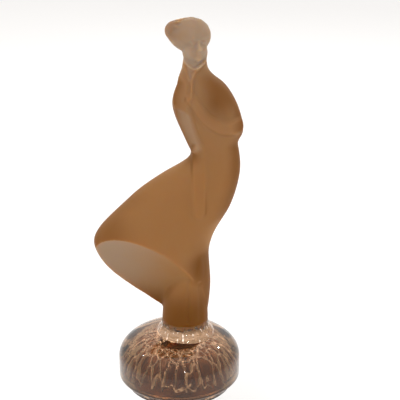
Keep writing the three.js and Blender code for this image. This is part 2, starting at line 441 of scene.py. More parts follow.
def aged_brass(colours, name, metallic):
    finish = Finish(name)
    place = finish.object_place()
    tarnish = finish.noise(place, 160.0, 5.0, 0.6)
    dark = tuple(0.45 * c for c in colours.brass)
    lathe_lines = finish.noise(place, 900.0, 2.0)
    return finish.output(
        finish.principled(
            base_color=finish.blend(finish.band(tarnish, 0.35, 0.65), tuple(colours.brass), dark),
            metallic=metallic,
            roughness=finish.band(tarnish, 0.3, 0.7, 0.28, 0.5),
            normal=finish.bump(lathe_lines, 0.00006, 0.4),
        )
    )


def plated_steel(colours, name="plated_steel"):
    finish = Finish(name)
    place = finish.object_place()
    bloom = finish.noise(place, 240.0, 4.0)
    dull = tuple(0.6 * c for c in colours.steel)
    scratches = finish.noise(place, 1800.0, 2.0)
    return finish.output(
        finish.principled(
            base_color=finish.blend(finish.band(bloom, 0.4, 0.7), tuple(colours.steel), dull),
            metallic=1.0,
            roughness=finish.band(bloom, 0.3, 0.7, 0.25, 0.42),
            normal=finish.bump(scratches, 0.00004, 0.3),
        )
    )


def setting_cement(colours):
    finish = Finish("setting_cement")
    place = finish.object_place()
    lumps = finish.noise(place, 500.0, 5.0, 0.65)
    dark = tuple(0.6 * c for c in colours.cement)
    return finish.output(
        finish.principled(
            base_color=finish.blend(lumps, tuple(colours.cement), dark),
            roughness=0.9,
            normal=finish.bump(lumps, 0.0004, 0.8),
        )
    )


def floor_paint(colours):
    finish = Finish("floor_paint")
    place = finish.object_place()
    mottle = finish.noise(place, 3.0, 2.0)
    soft = tuple(0.98 * c for c in colours.floor)
    return finish.output(
        finish.principled(
            base_color=finish.blend(mottle, tuple(colours.floor), soft),
            roughness=0.7,
            emission_color=(*colours.floor, 1.0),
            emission_strength=0.17,
        )
    )


# Mesh building


def smooth_keys(keys, count):
    """Spreads a few key rows of numbers into many rows along a Catmull-Rom curve."""
    rows = []
    spans = len(keys) - 1
    for i in range(count):
        along = i / (count - 1) * spans
        k = min(int(along), spans - 1)
        t = along - k
        before, start = keys[max(k - 1, 0)], keys[k]
        end, after = keys[k + 1], keys[min(k + 2, spans)]
        rows.append(
            tuple(
                0.5
                * (
                    2 * b
                    + (c - a) * t
                    + (2 * a - 5 * b + 4 * c - d) * t * t
                    + (3 * b - a - 3 * c + d) * t * t * t
                )
                for a, b, c, d in zip(before, start, end, after)
            )
        )
    return rows


def edges_of(verts):
    inside = set(verts)
    found = set()
    for v in verts:
        for e in v.link_edges:
            if e.other_vert(v) in inside:
                found.add(e)
    return list(found)


def bridge_rings(bm, rings):
    """Joins neighbouring rings of vertices with walls."""
    for lower, upper in zip(rings, rings[1:]):
        bmesh.ops.bridge_loops(bm, edges=edges_of(lower) + edges_of(upper))


def add_ring(bm, matrix, segments, capped=False):
    made = bmesh.ops.create_circle(
        bm, cap_ends=capped, radius=1.0, segments=segments, matrix=matrix
    )
    return made["verts"]


def add_level_loft(bm, keys, levels, segments):
    """A closed skin over level sections: (height, left, right, front, back)."""
    rows = smooth_keys(keys, levels)
    rings = []
    for i, (height, left, right, front, back) in enumerate(rows):
        matrix = Matrix.Translation((0, 0, height))
        ring = add_ring(bm, matrix, segments, capped=i in (0, len(rows) - 1))
        for v in ring:
            v.co.x = (left + right) / 2 + v.co.x * (right - left) / 2
            v.co.y *= front if v.co.y < 0 else back
        rings.append(ring)
    bridge_rings(bm, rings)


def add_limb(bm, keys, levels=14, segments=24):
    """A closed skin along a path: (x, y, z, radius). Both ends are rounded off."""
    rows = smooth_keys(keys, levels)
    places = [Vector(row[:3]) for row in rows]
    rings = []
    last = len(rows) - 1
    steps = []
    for i, row in enumerate(rows):
        ahead = places[min(i + 1, last)] - places[max(i - 1, 0)]
        steps.append((places[i], ahead.normalized(), row[3]))
    first, final = steps[0], steps[-1]
    start = [(first[0] - first[1] * first[2] * s, first[1], first[2] * c) for s, c in ROUND_END]
    finish = [(final[0] + final[1] * final[2] * s, final[1], final[2] * c) for s, c in ROUND_END]
    path = start[::-1] + steps + finish
    for i, (place, direction, radius) in enumerate(path):
        turn = direction.to_track_quat("Z", "Y").to_matrix().to_4x4()
        size = Matrix.Diagonal((radius, radius, 1.0, 1.0))
        matrix = Matrix.Translation(place) @ turn @ size
        rings.append(add_ring(bm, matrix, segments, capped=i in (0, len(path) - 1)))
    bridge_rings(bm, rings)


ROUND_END = [(math.sin(a), math.cos(a)) for a in (0.4, 0.8, 1.15, 1.4)]


def add_ball(bm, centre, half, matrix=Matrix.Identity(4), segments=28):
    size = Matrix.Diagonal((*half, 1.0))
    bmesh.ops.create_uvsphere(
        bm,
        u_segments=segments,
        v_segments=segments // 2,
        radius=1.0,
        matrix=matrix @ Matrix.Translation(centre) @ size,
    )


def spun(profile, steps, closed=False):
    """A turned solid about Z from (radius, height) points."""
    bm = bmesh.new()
    verts = [bm.verts.new((radius, 0.0, height)) for radius, height in profile]
    edges = [bm.edges.new(pair) for pair in zip(verts, verts[1:])]
    if closed:
        edges.append(bm.edges.new((verts[-1], verts[0])))
    bmesh.ops.spin(
        bm,
        geom=verts + edges,
        cent=(0, 0, 0),
        axis=(0, 0, 1),
        angle=math.tau,
        steps=steps,
        use_merge=True,
    )
    bmesh.ops.remove_doubles(bm, verts=bm.verts, dist=1e-4)
    bmesh.ops.recalc_face_normals(bm, faces=bm.faces)
    return bm


def rounded(corners, radius, steps=3):
    """Cuts each corner of a closed (radius, height) outline to a small arc."""
    points = []
    count = len(corners)
    for i, corner in enumerate(corners):
        here = Vector(corner)
        before = (Vector(corners[i - 1]) - here).normalized() * radius
        after = (Vector(corners[(i + 1) % count]) - here).normalized() * radius
        for s in range(steps + 1):
            t = s / steps
            points.append(tuple(here + before * (1 - t) ** 2 + after * t * t))
    return points


def mesh_object(bm, name):
    mesh = bpy.data.meshes.new(name)
    bm.to_mesh(mesh)
    bm.free()
    made = bpy.data.objects.new(name, mesh)
    bpy.context.scene.collection.objects.link(made)
    return made


def apply_modifiers(made):
    """Bakes the modifiers into the mesh."""
    depsgraph = bpy.context.evaluated_depsgraph_get()
    evaluated = made.evaluated_get(depsgraph)
    mesh = bpy.data.meshes.new_from_object(evaluated)
    old = made.data
    made.modifiers.clear()
    made.data = mesh
    bpy.data.meshes.remove(old)


def fuse(made, voxel, smoothing):
    """Fuses overlapping closed skins to one and softens it."""
    remesh = made.modifiers.new("fuse", "REMESH")
    remesh.mode = "VOXEL"
    remesh.voxel_size = voxel
    soften = made.modifiers.new("soften", "SMOOTH")
    soften.factor = 0.5
    soften.iterations = smoothing
    apply_modifiers(made)


def add_piece(made, material, node, body, sharp_angle=35.0):
    """Turns a millimetre mesh into a finished piece that stands for a CAD node."""
    made.data.transform(Matrix.Scale(MM, 4))
    made.data.shade_smooth()
    made.data.set_sharp_from_angle(angle=math.radians(sharp_angle))
    made.data.materials.clear()
    made.data.materials.append(material)
    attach(made, body)
    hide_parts(node)
    return made


# Figure

FIGURE_SHARP_ANGLE = 80.0

# Sections, upwards: (height, left, right, front, back).
LEG_KEYS = [
    (STEM_TOP + 0.8, -9.0, 15.5, 12.4, 12.2),
    (43.0, -8.6, 15.3, 12.0, 12.0),
    (48.0, -8.4, 15.5, 12.0, 11.8),
    (54.0, -8.0, 15.9, 12.4, 11.5),
    (60.0, -6.0, 15.9, 13.0, 11.2),
    (66.0, -2.0, 15.4, 13.4, 11.0),
    (72.0, 2.0, 14.8, 13.2, 11.0),
    (80.0, 6.0, 14.0, 12.0, 11.0),
]

GOWN_KEYS = [
    (45.0, -8.7, 15.5, 12.0, 12.0),
    (51.0, -16.5, 16.2, 13.5, 13.0),
    (60.0, -28.4, 16.7, 16.5, 15.0),
    (68.5, -37.2, 16.2, 19.0, 18.0),
    (77.0, -42.4, 15.8, 21.0, 19.5),
    (83.0, -44.0, 16.8, 22.0, 20.0),
    (88.5, -41.8, 18.7, 21.6, 19.8),
    (94.0, -37.3, 21.6, 20.6, 19.0),
    (102.0, -29.3, 26.3, 18.8, 17.5),
    (110.5, -20.3, 29.4, 16.8, 16.0),
    (118.5, -9.1, 31.2, 14.6, 14.2),
    (124.0, 0.2, 31.7, 13.0, 13.0),
    (128.0, 5.2, 31.5, 12.0, 12.0),
    (132.0, 6.5, 31.0, 11.4, 11.3),
    (137.0, 4.4, 30.4, 11.4, 11.0),
    (142.0, 2.2, 32.8, 11.8, 11.0),
    (147.0, 0.0, 32.6, 12.2, 11.0),
    (152.0, -1.8, 31.4, 12.4, 11.0),
    (157.0, -2.7, 29.6, 12.2, 11.0),
    (162.0, -1.9, 27.0, 11.6, 10.6),
    (167.0, -0.1, 23.3, 10.3, 9.8),
    (171.0, 0.8, 18.2, 8.8, 8.8),
    (174.5, 2.1, 15.4, 7.8, 7.8),
    (178.5, 2.8, 14.5, 7.0, 7.0),
    (184.0, 3.6, 14.0, 6.4, 6.6),
]

# The hem's hollow face is cut by a large cylinder that slopes down to the right.
HEM_CUT_RADIUS = 70.0
HEM_CUT_LENGTH = 160.0
HEM_CUT_CENTRE = (-28.0, -68.0, 34.9)
HEM_CUT_SLOPE = -0.52

# Paths of (x, z) on the front, most of them for low relief pressed by the strokes below.
ARM_PATH = [(2.0, 168.0), (2.5, 157.0), (5.0, 147.0), (8.5, 137.0)]
FOREARM_PATH = [(10.5, 135.0), (11.0, 104.5)]
SLEEVE_PATH = [(2.0, 168.0), (2.0, 160.5)]
FOLDED_PATH = [(7.0, 162.0), (13.5, 153.0), (21.5, 147.5), (29.5, 147.0)]
UPPER_ARM_PATH = [(29.5, 147.0), (26.5, 158.0), (19.5, 168.0)]
# The painted shade under the folded arm follows this path; it is not pressed.
UNDER_ARM_PATH = [(5.0, 160.5), (12.0, 151.0), (20.5, 144.5), (30.0, 142.5)]
NECKLINE_PATH = [(2.5, 180.5), (8.5, 176.0), (14.5, 180.5)]
LAPEL_PATH = [(13.5, 179.5), (8.0, 173.0), (7.0, 162.5)]
COLLAR_PATH = [(3.0, 178.0), (6.5, 170.0)]
LEFT_LEG_PATH = [(5.0, 66.0), (5.0, 42.0)]
RIGHT_LEG_PATH = [(11.0, 63.0), (11.5, 41.0)]

# Each stroke: path, half width at its start and end, height and width of its soft edge.
STROKES = [
    (ARM_PATH, 4.2, 3.2, 1.0, 3.0),
    (SLEEVE_PATH, 6.0, 5.0, 0.4, 1.4),
    (FOREARM_PATH, 3.6, 3.0, 0.6, 2.2),
    (FOLDED_PATH, 2.2, 3.6, 1.0, 3.0),
    (UPPER_ARM_PATH, 4.6, 5.0, 0.6, 4.0),
    (NECKLINE_PATH, 0.6, 0.6, 0.7, 1.4),
    (LAPEL_PATH, 0.8, 0.4, 0.8, 1.6),
    (COLLAR_PATH, 0.6, 0.4, 0.5, 1.4),
    (LEFT_LEG_PATH, 0.6, 1.0, -0.35, 2.4),
    (RIGHT_LEG_PATH, 0.6, 1.0, -0.35, 2.4),
]

# Place and reach of the softening where the gown's hollow face meets the legs.
ROOT_CENTRE = (-3.0, -8.0, 55.0)
ROOT_REACH = (16.0, 14.0, 15.0)

HEAD_CENTRE = (8.2, -1.2, 188.6)
HEAD_YAW = math.radians(20.0)
HEAD_TILT = math.radians(-6.0)
SWEPT_HAIR = [
    (7.9, 0.4, 191.1, 8.7),
    (4.6, 1.4, 191.1, 8.3),
    (1.8, 2.2, 191.5, 7.2),
    (-0.4, 2.7, 192.3, 5.8),
    (-1.2, 2.9, 192.8, 5.0),
]


def head_matrix():
    place = Matrix.Translation(HEAD_CENTRE)
    return place @ Matrix.Rotation(HEAD_YAW, 4, "Z") @ Matrix.Rotation(HEAD_TILT, 4, "X")


def add_face(bm):
    """A calm, plain face: eyes at half height, nose and chin in equal thirds below the brow."""
    turn = head_matrix() @ Matrix.Scale(0.94, 4)
    add_ball(bm, (0.0, 0.6, 0.8), (7.3, 8.0, 9.4), turn)
    add_ball(bm, (0.0, -2.3, -2.8), (6.1, 5.8, 7.4), turn)
    add_ball(bm, (0.6, 0.4, -6.0), (6.7, 6.2, 6.6), turn)
    add_ball(bm, (0.0, -6.1, -8.2), (2.3, 1.9, 1.7), turn)
    bridge = [(0.0, -7.6, 1.2, 0.8), (0.0, -8.3, -1.0, 0.85), (0.0, -9.0, -3.2, 1.15)]
    add_limb(bm, [(*(turn @ Vector(row[:3])), row[3]) for row in bridge], 8, 14)
    add_ball(bm, (0.0, -7.8, -5.2), (1.9, 0.9, 0.5), turn, 16)
    add_ball(bm, (0.0, -7.6, -6.2), (1.6, 0.9, 0.55), turn, 16)
    for side in (-1, 1):
        add_ball(bm, (side * 2.9, -4.9, -3.6), (2.3, 2.3, 2.6), turn, 16)
        add_ball(bm, (side * 2.7, -6.9, -0.1), (1.6, 1.0, 0.8), turn, 16)
        add_ball(bm, (side * 1.0, -7.9, -3.6), (0.8, 0.9, 0.7), turn, 12)
        brow = [(side * 1.1, -7.7, 1.7, 0.6), (side * 3.0, -7.3, 2.2, 0.7), (side * 4.9, -5.9, 1.4, 0.5)]
        add_limb(bm, [(*(turn @ Vector(row[:3])), row[3]) for row in brow], 8, 12)


def add_hair(bm):
    """Hair drawn back from the brow to a blunt end, with raised locks along it."""
    add_limb(bm, SWEPT_HAIR, 16, 36)
    locks = 9
    for i in range(locks):
        angle = math.radians(-20.0 + 240.0 * i / (locks - 1))
        keys = []
        for x, y, z, radius in SWEPT_HAIR:
            out = Vector((0.0, -math.cos(angle), math.sin(angle))) * (radius - 0.35)
            keys.append((x, y + out.y, z + out.z, 0.7))
        add_limb(bm, keys, 14, 10)


def ease(t):
    t = np.clip(t, 0.0, 1.0)
    return t * t * (3 - 2 * t)


def stroke_cover(places, path, width_start, width_end, edge):
    """How far each (x, z) place is inside a stroke: 1 inside, easing to 0 over its edge."""
    points = np.array(smooth_keys(path, 8 * len(path)))
    share = np.linspace(0.0, 1.0, len(points))
    cover = np.zeros(len(places))
    for k in range(len(points) - 1):
        start, step = points[k], points[k + 1] - points[k]
        t = np.clip(((places - start) @ step) / (step @ step), 0.0, 1.0)
        gap = np.linalg.norm(places - start - t[:, None] * step, axis=1)
        along = share[k] + t * (share[k + 1] - share[k])
        width = width_start + (width_end - width_start) * along
        cover = np.maximum(cover, ease((width + edge / 2 - gap) / edge))
    return cover


def mesh_arrays(mesh):
    places = np.zeros(3 * len(mesh.vertices), np.float32)
    normals = np.zeros(3 * len(mesh.vertices), np.float32)
    mesh.vertices.foreach_get("co", places)
    mesh.vertex_normals.foreach_get("vector", normals)
    return places.reshape(-1, 3).astype(float), normals.reshape(-1, 3).astype(float)


def soften_root(made):
    """Melts the gown's hollow face into the legs, as the mould's draft does."""
    places = mesh_arrays(made.data)[0]
    weights = ease(1.6 - 1.6 * np.linalg.norm((places - ROOT_CENTRE) / ROOT_REACH, axis=1))
    group = made.vertex_groups.new(name="root")
    for i in np.flatnonzero(weights):
        group.add([int(i)], float(weights[i]), "REPLACE")
    soften = made.modifiers.new("melt", "SMOOTH")
    soften.vertex_group = group.name
    soften.factor = 0.5
    soften.iterations = 120
    apply_modifiers(made)
    made.vertex_groups.clear()


def press_front(made):
    """Raises the arms, the collar and the wrap of the gown from the figure's front."""
    mesh = made.data
    places, normals = mesh_arrays(mesh)
    front = ease(-1.6 * normals[:, 1])
    for path, width_start, width_end, height, edge in STROKES:
        cover = stroke_cover(places[:, [0, 2]], path, width_start, width_end, edge)
        places += normals * (height * cover * front)[:, None]
    mesh.vertices.foreach_set("co", places.astype(np.float32).ravel())
    mesh.update()


def add_tones(made):
    """Marks where the glass is paler, a painted sheen on the head and neck, the bare arm and the hem's
    hollow face, paler too in the neckline opening; and where it is deeper, painted shade in creases, at the
    turned-away sides, on the skirt's far left, at the elbow and under the folded arm, deeper too towards the
    foot, on the hair and over the upper right of the bodice.
    """
    mesh = made.data
    places, normals = mesh_arrays(mesh)
    x, y, z = places.T
    flat = places[:, [0, 2]]
    front = ease(-2.0 * normals[:, 1])
    # Painted sheen: the bare arm below the sleeve, the head and neck and the hem's hollow face are paler;
    # the neckline opening is paler too.
    below_sleeve = ease((157.5 - z - 0.5 * (x - 2.0)) / 2.5)
    arm = stroke_cover(flat, ARM_PATH, 3.8, 3.0, 3.0) * below_sleeve * front
    sheen_on_head = ease((z - 175.2 - np.minimum(0.12 * (x - 8.6) ** 2, 5.0)) / 1.6)
    opening = stroke_cover(flat, [(6.9, 176.5), (6.5, 171.5)], 2.0, 0.5, 1.6) * front
    # Painted shade along the lower edge of the folded arm.
    shade_under_arm = stroke_cover(flat, UNDER_ARM_PATH, 0.3, 0.5, 2.6) * front
    under = ease(-3.0 * (normals[:, 2] + 0.05)) * ease((100.0 - z) / 6.0)
    sheen_under_hem = 0.85 * under * ease((6.0 - x) / 46.0)
    pale = np.maximum.reduce([0.55 * arm, sheen_on_head, 0.5 * opening, sheen_under_hem])
    # Painted shade in creases, on the turned-away sides, on the skirt's far left and at the elbow; the glass
    # is also darker towards the foot, on the hair and over the upper right of the bodice.
    shade_in_crease = ease(1.0 - np.hypot((x - 14.0) / 15.0, (z - 72.0) / 22.0)) * (1.0 - 0.6 * under)
    foot = ease((74.0 - z) / 36.0)
    turned_away = ease((np.abs(normals[:, 0]) - 0.3) / 0.65)
    side = 0.8 * turned_away * ease((176.0 - z) / 8.0) * (1.0 - under)
    wrap = 0.75 * ease((x - 6.0) / 14.0) * ease((z - 144.0) / 18.0) * ease((178.0 - z) / 8.0)
    hair = 0.4 * ease((9.0 - x) / 12.0) * ease((z - 184.0) / 8.0)
    shade_on_far_left = 0.6 * ease((-12.0 - x) / 28.0) * (1.0 - under)
    elbow = stroke_cover(flat, [(6.6, 136.0), (13.6, 135.4)], 0.8, 0.8, 4.0) * front
    deep = np.maximum.reduce([shade_in_crease, foot, side, wrap, hair, shade_on_far_left, 0.15 * elbow, 0.5 * shade_under_arm])
    for name, values in (("pale", pale), ("deep", deep)):
        layer = mesh.attributes.new(name, "FLOAT", "POINT")
        layer.data.foreach_set("value", values.astype(np.float32))


def hem_cutter():
    bm = bmesh.new()
    turn = Matrix.Rotation(-math.atan(HEM_CUT_SLOPE), 4, "Y") @ Matrix.Rotation(math.pi / 2, 4, "Y")
    bmesh.ops.create_cone(
        bm,
        cap_ends=True,
        segments=256,
        radius1=HEM_CUT_RADIUS,
        radius2=HEM_CUT_RADIUS,
        depth=HEM_CUT_LENGTH,
        matrix=Matrix.Translation(HEM_CUT_CENTRE) @ turn,
    )
    return mesh_object(bm, "hem_cutter")


def cut_gown():
    """The gown's solid with the hollow face cut under its hem."""
    bm = bmesh.new()
    add_level_loft(bm, GOWN_KEYS, 90, 72)
    bmesh.ops.recalc_face_normals(bm, faces=bm.faces)
    gown = mesh_object(bm, "gown_solid")
    cutter = hem_cutter()
    cut = gown.modifiers.new("hem", "BOOLEAN")
    cut.operation = "DIFFERENCE"
    cut.solver = "EXACT"
    cut.object = cutter
    apply_modifiers(gown)
    bpy.data.objects.remove(cutter)
    mesh = gown.data
    bpy.data.objects.remove(gown)
    return mesh


class MASCOT_OT_figure(bpy.types.Operator):
    """Model the frosted glass figure"""

    bl_idname = "mascot.figure"
    bl_label = "Glass Figure"

    def execute(self, context):
        sizes = context.scene.mascot_sizes
        bm = bmesh.new()
        gown = cut_gown()
        bm.from_mesh(gown)
        bpy.data.meshes.remove(gown)
        add_level_loft(bm, LEG_KEYS, 30, 60)
        add_face(bm)
        add_hair(bm)
        bmesh.ops.recalc_face_normals(bm, faces=bm.faces)
        made = mesh_object(bm, "frosted_figure")
        fuse(made, sizes.figure_voxel / MM, sizes.figure_smoothing)
        soften_root(made)
        press_front(made)
        add_tones(made)
        material = frosted_glass(context.scene.mascot_colours)
        add_piece(made, material, "glass_figure", "root", FIGURE_SHARP_ANGLE)
        return {"FINISHED"}


# Base

BASE_STEPS = 288
BASE_SHARP_ANGLE = 50.0
FOOT_HEIGHT = 2.2
FOOT_RADIUS = BASE_RADIUS * 0.892
GROOVE_DEPTH = 1.0
GROOVE_WIDTH = 0.8
WALL_TOP = 16.0
DOME_TOP = 32.0
DOME_SQUARENESS = 2.05
STEM_OFFSET = 3.3
STEM_RADIUS = 12.0
STEM_FLARE = 3.4
STEM_FLARE_RISE = 7.6
STEM_LUMPS = 0.6
STEM_STEPS = 144
HOLLOW_TOP = 21.0
HOLLOW_TOP_RADIUS = 11.0
HOLLOW_MOUTH_RADIUS = 23.5
REBATE_RADIUS = CEMENT_HIGH.x + 0.3
REBATE_TOP = FOOT_BOTTOM + 3.0

# Pressed roots: rows of cells down the hollow, how they crowd upwards, and their crests' share
ROOT_ROWS = 4.4
ROOT_CROWDING = 0.55
ROOT_WALL = 0.24


def quarter(count):
    return [math.pi / 2 * i / count for i in range(count + 1)]


def outer_profile():
    """Foot, groove, wall and dome, from the foot's underside to the axis."""
    foot_top = FOOT_BOTTOM + FOOT_HEIGHT
    body_bottom = foot_top + GROOVE_WIDTH
    groove = FOOT_RADIUS - GROOVE_DEPTH
    points = [
        (REBATE_RADIUS, FOOT_BOTTOM + 0.3),
        (REBATE_RADIUS + 0.3, FOOT_BOTTOM),
        (FOOT_RADIUS - 0.8, FOOT_BOTTOM),
        (FOOT_RADIUS - 0.2, FOOT_BOTTOM + 0.2),
        (FOOT_RADIUS, FOOT_BOTTOM + 0.7),
        (FOOT_RADIUS, foot_top - 0.7),
        (FOOT_RADIUS - 0.3, foot_top - 0.3),
        (groove, foot_top),
        (groove, body_bottom - 0.1),
        (groove + 0.5, body_bottom),
        (BASE_RADIUS - 1.5, body_bottom + 0.1),
        (BASE_RADIUS - 0.6, body_bottom + 0.5),
        (BASE_RADIUS - 0.1, body_bottom + 1.2),
        (BASE_RADIUS, body_bottom + 2.0),
    ]
    for angle in quarter(40):
        out = math.cos(angle) ** (2 / DOME_SQUARENESS)
        rise = math.sin(angle) ** (2 / DOME_SQUARENESS)
        points.append((BASE_RADIUS * out, WALL_TOP + (DOME_TOP - WALL_TOP) * rise))
    return points


def hollow_profile():
    """The bell-shaped hollow, from the axis down to the rebate's mouth."""
    flare = HOLLOW_MOUTH_RADIUS - HOLLOW_TOP_RADIUS
    points = [(0.0, HOLLOW_TOP)]
    for i in range(1, 8):
        points.append((HOLLOW_TOP_RADIUS * i / 8, HOLLOW_TOP))
    for angle in quarter(56):
        points.append(
            (
                HOLLOW_TOP_RADIUS + flare * math.sin(angle),
                REBATE_TOP + (HOLLOW_TOP - REBATE_TOP) * math.cos(angle),
            )
        )
    points.append((REBATE_RADIUS, REBATE_TOP))
    return points


def root_relief(place, count):
    """Height from 0 to 1 of the pressed roots: walls between cells that lengthen downwards."""
    radius = math.hypot(place.x, place.y)
    share = (radius - HOLLOW_TOP_RADIUS) / (HOLLOW_MOUTH_RADIUS - HOLLOW_TOP_RADIUS)
    around = count / math.tau
    angle = math.atan2(place.y, place.x)
    down = ROOT_ROWS * max(share, 0.0) ** ROOT_CROWDING
    wobble = 0.25 * noise.noise(place * 0.35)
    bent = angle + 0.05 * wobble
    spot = Vector((around * math.cos(bent), around * math.sin(angle), down + wobble))
    distances = noise.voronoi(spot)[0]
    wall = distances[1] - distances[0]
    return max(0.0, 1.0 - wall / ROOT_WALL)


def fade(value, low, high):
    t = min(max((value - low) / (high - low), 0.0), 1.0)
    return t * t * (3 - 2 * t)


def press_roots(bm, height, count):
    """Raises the roots on the hollow's wall, fading at the smooth disc and at the mouth."""
    crest = bm.verts.layers.float.new("crest")
    for v in bm.verts:
        radius = math.hypot(v.co.x, v.co.y)
        on_wall = (
            HOLLOW_TOP_RADIUS < radius < HOLLOW_MOUTH_RADIUS - 0.05
            and REBATE_TOP + 0.3 < v.co.z <= HOLLOW_TOP
        )
        if not on_wall:
            continue
        relief = root_relief(v.co, count)
        relief *= fade(radius, HOLLOW_TOP_RADIUS + 0.2, HOLLOW_TOP_RADIUS + 1.5)
        relief *= fade(v.co.z, REBATE_TOP + 1.6, REBATE_TOP + 3.6)
        inward = Vector((-v.co.x / radius, -v.co.y / radius, -0.7)).normalized()
        v.co += inward * height * relief
        v[crest] = relief


def stem_solid():
    """The flared clear stem, a little to one side of the base's axis."""
    top = STEM_TOP + 1.0
    low = top - STEM_FLARE_RISE
    points = [(0.0, low - 3.0), (STEM_RADIUS + STEM_FLARE, low - 3.0)]
    for i in range(25):
        rise = i / 24
        points.append((STEM_RADIUS + STEM_FLARE * (1 - rise) ** 1.6, low + STEM_FLARE_RISE * rise))
    points.append((0.0, top))
    bm = spun(points, STEM_STEPS)
    for v in bm.verts:
        if low + 1.0 < v.co.z < top - 0.2:
            lump = noise.noise(Vector((v.co.x * 0.32, v.co.y * 0.32, v.co.z * 0.5)))
            v.co.x *= 1 + STEM_LUMPS * lump / STEM_RADIUS
            v.co.y *= 1 + STEM_LUMPS * lump / STEM_RADIUS
    bmesh.ops.translate(bm, verts=bm.verts, vec=(STEM_OFFSET, 0, 0))
    return bm


class MASCOT_OT_base(bpy.types.Operator):
    """Model the clear hollow base with its pressed roots"""

    bl_idname = "mascot.base"
    bl_label = "Glass Base"

    def execute(self, context):
        sizes = context.scene.mascot_sizes
        bm = spun(hollow_profile() + outer_profile(), BASE_STEPS)
        press_roots(bm, sizes.root_height / MM, sizes.root_count)
        bmesh.ops.recalc_face_normals(bm, faces=bm.faces)
        made = mesh_object(bm, "clear_base")
        stem = mesh_object(stem_solid(), "stem_solid")
        join = made.modifiers.new("stem", "BOOLEAN")
        join.operation = "UNION"
        join.solver = "EXACT"
        join.object = stem
        apply_modifiers(made)
        bpy.data.objects.remove(stem)
        material = clear_glass(context.scene.mascot_colours)
        add_piece(made, material, "glass_base", "root", BASE_SHARP_ANGLE)
        return {"FINISHED"}


# Fixing under the foot

GASKET_HOLE = 9.0
THREAD_GAP = 0.1
WASHER_GAP = 0.4
PLATE_THICKNESS = 2.4
HUB_RADIUS = 7.0
CEMENT_GAP = 0.25
STUD_CHAMFER = 0.8
SPRING_RISE = 0.35
SPRING_SPLIT = 0.3
NUT_HEIGHT = 8.0
NUT_TIP_RADIUS = 6.2
NUT_VOXEL = 0.3
WING_FLATNESS = 0.34


def ring_outline(low, high, hole):
    """The four corners of a ring's section, from its box and its hole."""
    return [(hole, low.z), (high.x, low.z), (high.x, high.z), (hole, high.z)]


class MASCOT_OT_gasket(bpy.types.Operator):
    """Model the rubber gasket under the foot"""

    bl_idname = "mascot.gasket"
    bl_label = "Foot Gasket"

    def execute(self, context):
        outline = rounded(ring_outline(GASKET_LOW, GASKET_HIGH, GASKET_HOLE), 0.5)
        made = mesh_object(spun(outline, 128, closed=True), "rubber_gasket")
        material = rubber(context.scene.mascot_colours)
        add_piece(made, material, "foot_gasket", "root")
        return {"FINISHED"}


class MASCOT_OT_plate(bpy.types.Operator):
    """Model the mounting plate and the cement around it"""

    bl_idname = "mascot.plate"
    bl_label = "Mounting Plate"

    def execute(self, context):
        colours = context.scene.mascot_colours
        thread = STUD_RADIUS + THREAD_GAP
        plate_top = PLATE_LOW.z + PLATE_THICKNESS
        outline = [
            (thread, PLATE_LOW.z),
            (PLATE_HIGH.x, PLATE_LOW.z),
            (PLATE_HIGH.x, plate_top),
            (HUB_RADIUS, plate_top),
            (HUB_RADIUS, PLATE_HIGH.z),
            (thread, PLATE_HIGH.z),
        ]
        plate = mesh_object(spun(rounded(outline, 0.4), 128, closed=True), "brass_plate")
        brass = aged_brass(colours, "plate_brass", 0.5)
        add_piece(plate, brass, "mounting_plate", "root")
        hole = PLATE_HIGH.x + CEMENT_GAP
        bm = spun(rounded(ring_outline(CEMENT_LOW, CEMENT_HIGH, hole), 0.3), 256, closed=True)
        for v in bm.verts:
            if v.co.z > CEMENT_HIGH.z - 0.5:
                v.co.z -= 0.4 * abs(noise.noise(v.co * 0.6))
        cement = mesh_object(bm, "cement_ring")
        add_piece(cement, setting_cement(colours), "plate_cement", "root")
        return {"FINISHED"}


class MASCOT_OT_stud(bpy.types.Operator):
    """Model the threaded stud"""

    bl_idname = "mascot.stud"
    bl_label = "Threaded Stud"

    def execute(self, context):
        pitch = context.scene.mascot_sizes.thread_pitch / MM
        depth = 0.61 * pitch
        bm = bmesh.new()
        rings = []
        length = STUD_HIGH.z - STUD_LOW.z
        levels = int(length / pitch * 8)
        for i in range(levels + 1):
            height = STUD_LOW.z + length * i / levels
            ring = add_ring(bm, Matrix.Translation((0, 0, height)), 32, capped=i in (0, levels))
            end = min(height - STUD_LOW.z, STUD_HIGH.z - height)
            for v in ring:
                turn = math.atan2(v.co.y, v.co.x) / math.tau
                phase = (height / pitch - turn) % 1.0
                crest = min(1.0, 1.25 * abs(2 * phase - 1))
                radius = STUD_RADIUS - depth * (1 - crest)
                radius = min(radius, STUD_RADIUS - STUD_CHAMFER + end)
                v.co.x *= radius
                v.co.y *= radius
            rings.append(ring)
        bridge_rings(bm, rings)
        bmesh.ops.recalc_face_normals(bm, faces=bm.faces)
        made = mesh_object(bm, "steel_stud")
        material = plated_steel(context.scene.mascot_colours)
        add_piece(made, material, "threaded_stud", "root")
        return {"FINISHED"}


